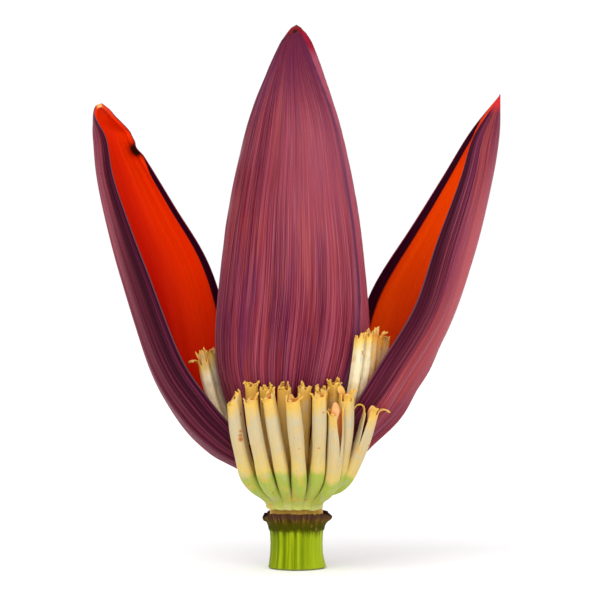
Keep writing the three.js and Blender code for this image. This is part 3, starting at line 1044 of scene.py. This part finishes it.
def add_pistil(flower, seat, length, thickness):
    """A club that stands in the mouth, joined to its flower."""
    centre, ahead, side, upright, radius = seat
    bpy.ops.object.select_all(action="DESELECT")
    bpy.ops.mesh.primitive_uv_sphere_add(segments=16, ring_count=12, radius=1, location=(0, 0, 0))
    club = bpy.context.object
    for vertex in club.data.vertices:
        x, y, z = vertex.co
        swell = mix(0.35, 1.0, ease(z, -0.9, 0.45)) * (1 + 0.12 * math.cos(6 * math.atan2(y, x)))
        across = side.normalized() * x + upright * y
        vertex.co = centre + across * swell * thickness * MM + ahead * (z / 2 + 0.2) * length * MM
    bpy.ops.object.shade_smooth()
    for finish in flower.data.materials:
        club.data.materials.append(finish)
    for polygon in club.data.polygons:
        polygon.material_index = 2
    flower.select_set(True)
    bpy.context.view_layer.objects.active = flower
    bpy.ops.object.join()


FRONT_CLIMB = [
    (14.6, 31.8), (15.8, 35.6), (20, 39.8), (27, 44.5), (33.5, 51.5), (38.5, 62.5), (43, 76), (46.5, 90.5),
]
FRONT_HAND = [
    dict(foot=-60, waist=-50, tip=-44, fullness=4.4, curl=(-1.7, -0.4), slant=3.2, pistil=(0.98, 5, 1.2)),
    dict(foot=-38, waist=-29, tip=-30, fullness=4.1, curl=(-0.9, 0.7), slant=1.0),
    dict(foot=-19, waist=-12.5, tip=-17.5, fullness=3.7, stretch=1, curl=(-1.0, 0.6), slant=1.6),
    dict(foot=0, waist=3, tip=-2, fullness=4.0, curl=(-0.4, 1.3), pistil=(0.97, 4, 1.1)),
    dict(foot=19, waist=19, tip=14.5, fullness=3.8, stretch=2, curl=(-0.8, 1.0)),
    dict(
        foot=35, waist=33, tip=25.5, fullness=4.0, stretch=-7, seam=-78, split=0.78, gape=1.3,
        flare=0.1, curl=(0.1, 0.9), pistil=(0.98, 13, 2.4),
    ),
    dict(
        foot=47, waist=42.5, tip=33.8, fullness=4.0, stretch=1, flare=0.1, pistil=(0.99, 6, 1.8),
        petals=((5, 0.9), (6, -0.5), (5, 1.4), (6, 0.9), (4, -0.4)),
    ),
    dict(
        foot=60, waist=51.5, tip=54.5, stretch=-6.5, lift=5, outward=0.5, fullness=3.5, seam=194, split=0.78,
        gape=0.5, petals=((5, 0.9), (8.5, 2.3), (12, 0.3), (9, 0.9), (10.5, 3.0)), flare=0.35,
        pistil=(0.98, 9, 1.8),
    ),
]
for number, flower in enumerate(FRONT_HAND, 1):
    finger_flower(
        f"front_finger_{number}", f"front_flower_{number}", FRONT_CLIMB, 1.03,
        seed=300 + number, finishes=FRONT_FINISHES, **flower,
    )

SECOND_CLIMB = [
    (14, 38.6), (17, 42), (20, 47), (24, 53.5), (28, 61), (31.8, 70.5), (35.8, 81.5), (38.8, 95),
]
SECOND_HAND = [
    dict(foot=-50, tip=-37, stretch=2),
    dict(foot=-32, tip=-23.5, stretch=1),
    dict(foot=-14, tip=-9.5, stretch=1),
    dict(foot=6, tip=6, stretch=1),
    dict(foot=24, tip=19.5),
    dict(foot=42, tip=30.5, stretch=3),
]
for number, flower in enumerate(SECOND_HAND, 1):
    finger_flower(
        f"second_finger_{number}", f"second_flower_{number}", SECOND_CLIMB, 1.0,
        seed=330 + number, finishes=SECOND_ROW_SHADED_FINISHES, fullness=3.7, **flower,
    )

AXIL_CLIMB = [(14, 52), (20, 57), (26, 62), (31.5, 68), (37.5, 78), (42, 90), (45, 102), (47, 113)]
LEFT_HAND = [
    dict(
        tip=-86, stretch=-5, outward=2, fullness=3.0, flare=0.15, seam=243, gape=0.2,
        petals=((8, 2.2), (9, 0.3), (11, -0.2), (10, 0.2), (9, 0.5)),
    ),
    dict(tip=-104),
    dict(tip=-116),
    dict(tip=-127.5),
    dict(tip=-140),
]
for number, flower in enumerate(LEFT_HAND, 1):
    flower = dict(fullness=3.8, outward=1, pistil=(0.97, 6, 1.3)) | flower
    finger_flower(
        f"left_axil_finger_{number}", f"left_axil_flower_{number}", AXIL_CLIMB, 0.9,
        foot=mix(-115, flower["tip"], 1.45), seed=360 + number, finishes=AXIL_LIT_FINISHES, **flower,
    )
GOLDEN_FINISHES = [
    flower_finish("flower_golden", 260, 0.2, (232, 196, 128), (238, 164, 30), (226, 148, 40)),
    AXIL_LIT_FINISHES[1],
    FRONT_FINISHES[2],
]
LONG_LOBED = dict(lobe_length=(3, 6), finishes=GOLDEN_FINISHES)
RIGHT_HAND = [
    dict(foot=46, tip=44.5, stretch=9, fullness=2.9, curl=(-0.5, 0.2)),
    dict(foot=58, tip=52.5, stretch=10, fullness=2.9, curl=(-0.5, 0.2)),
    LONG_LOBED | dict(foot=66, tip=58, stretch=10, fullness=3.0, curl=(-0.2, 1.4)),
    LONG_LOBED | dict(foot=78, tip=65, stretch=9, fullness=2.8, curl=(0.2, 1.5)),
    dict(foot=102, tip=92, stretch=8, fullness=3.4),
    dict(foot=120, tip=108, stretch=6, fullness=3.4),
]
for number, flower in enumerate(RIGHT_HAND, 1):
    flower = dict(finishes=AXIL_LIT_FINISHES) | flower
    finger_flower(
        f"right_axil_finger_{number}", f"right_axil_flower_{number}", AXIL_CLIMB, 0.9,
        seed=380 + number, **flower,
    )

# ---------------------------------------------------------------------------------------------
# Floor, light and camera. A plain white floor under soft, even studio light, seen from the front
# and from half the height of the blossom.
FLOOR_SIZE = 12
bpy.ops.object.select_all(action="DESELECT")
bpy.ops.mesh.primitive_plane_add(size=FLOOR_SIZE, location=(0, 0, 0))
floor = bpy.context.object
floor.name = floor.data.name = "floor"
floor_finish, _, floor_shader = new_finish("floor_white")
floor_shader.inputs["Base Color"].default_value = (1, 1, 1, 1)
floor_shader.inputs["Roughness"].default_value = 1.0
floor_shader.inputs["Specular IOR Level"].default_value = 0.0
floor.data.materials.append(floor_finish)

# The room shows white behind the blossom but lights it less, so that the soft key can model it.
ROOM_LIGHT = 0.84
ROOM_SEEN = 1.02
world = bpy.data.worlds.new("studio")
world.use_nodes = True
room = world.node_tree.nodes["Background"]
room.inputs[0].default_value = (1, 1, 1, 1)
seen = add_node(world.node_tree, "ShaderNodeLightPath").outputs["Is Camera Ray"]
extra = times(world.node_tree, seen, ROOM_SEEN - ROOM_LIGHT)
world.node_tree.links.new(plus(world.node_tree, extra, ROOM_LIGHT), room.inputs[1])
bpy.context.scene.world = world


def soft_sun(name, direction, strength, softness):
    bpy.ops.object.light_add(type="SUN", location=direction)
    light = bpy.context.object
    light.name = name
    light.data.energy = strength
    light.data.angle = math.radians(softness)
    light.rotation_euler = (-Vector(direction)).to_track_quat("-Z", "Y").to_euler()


soft_sun("key", (-0.5, -0.9, 1.0), 1.15, 45)
soft_sun("fill", (0.45, -1.0, 0.4), 0.95, 60)

CAMERA_DISTANCE = 1.3
CAMERA_HEIGHT = 0.15
VIEW_MIDDLE = 0.1444
VIEW_HEIGHT = 0.3155
SENSOR_WIDTH = 36
bpy.ops.object.camera_add(location=(0, -CAMERA_DISTANCE, CAMERA_HEIGHT))
camera = bpy.context.object
aim = Vector((0, 0, VIEW_MIDDLE)) - camera.location
camera.rotation_euler = aim.to_track_quat("-Z", "Y").to_euler()
camera.data.sensor_width = SENSOR_WIDTH
camera.data.lens = SENSOR_WIDTH * aim.length / VIEW_HEIGHT
bpy.context.scene.camera = camera
bpy.context.scene.view_settings.view_transform = "Standard"
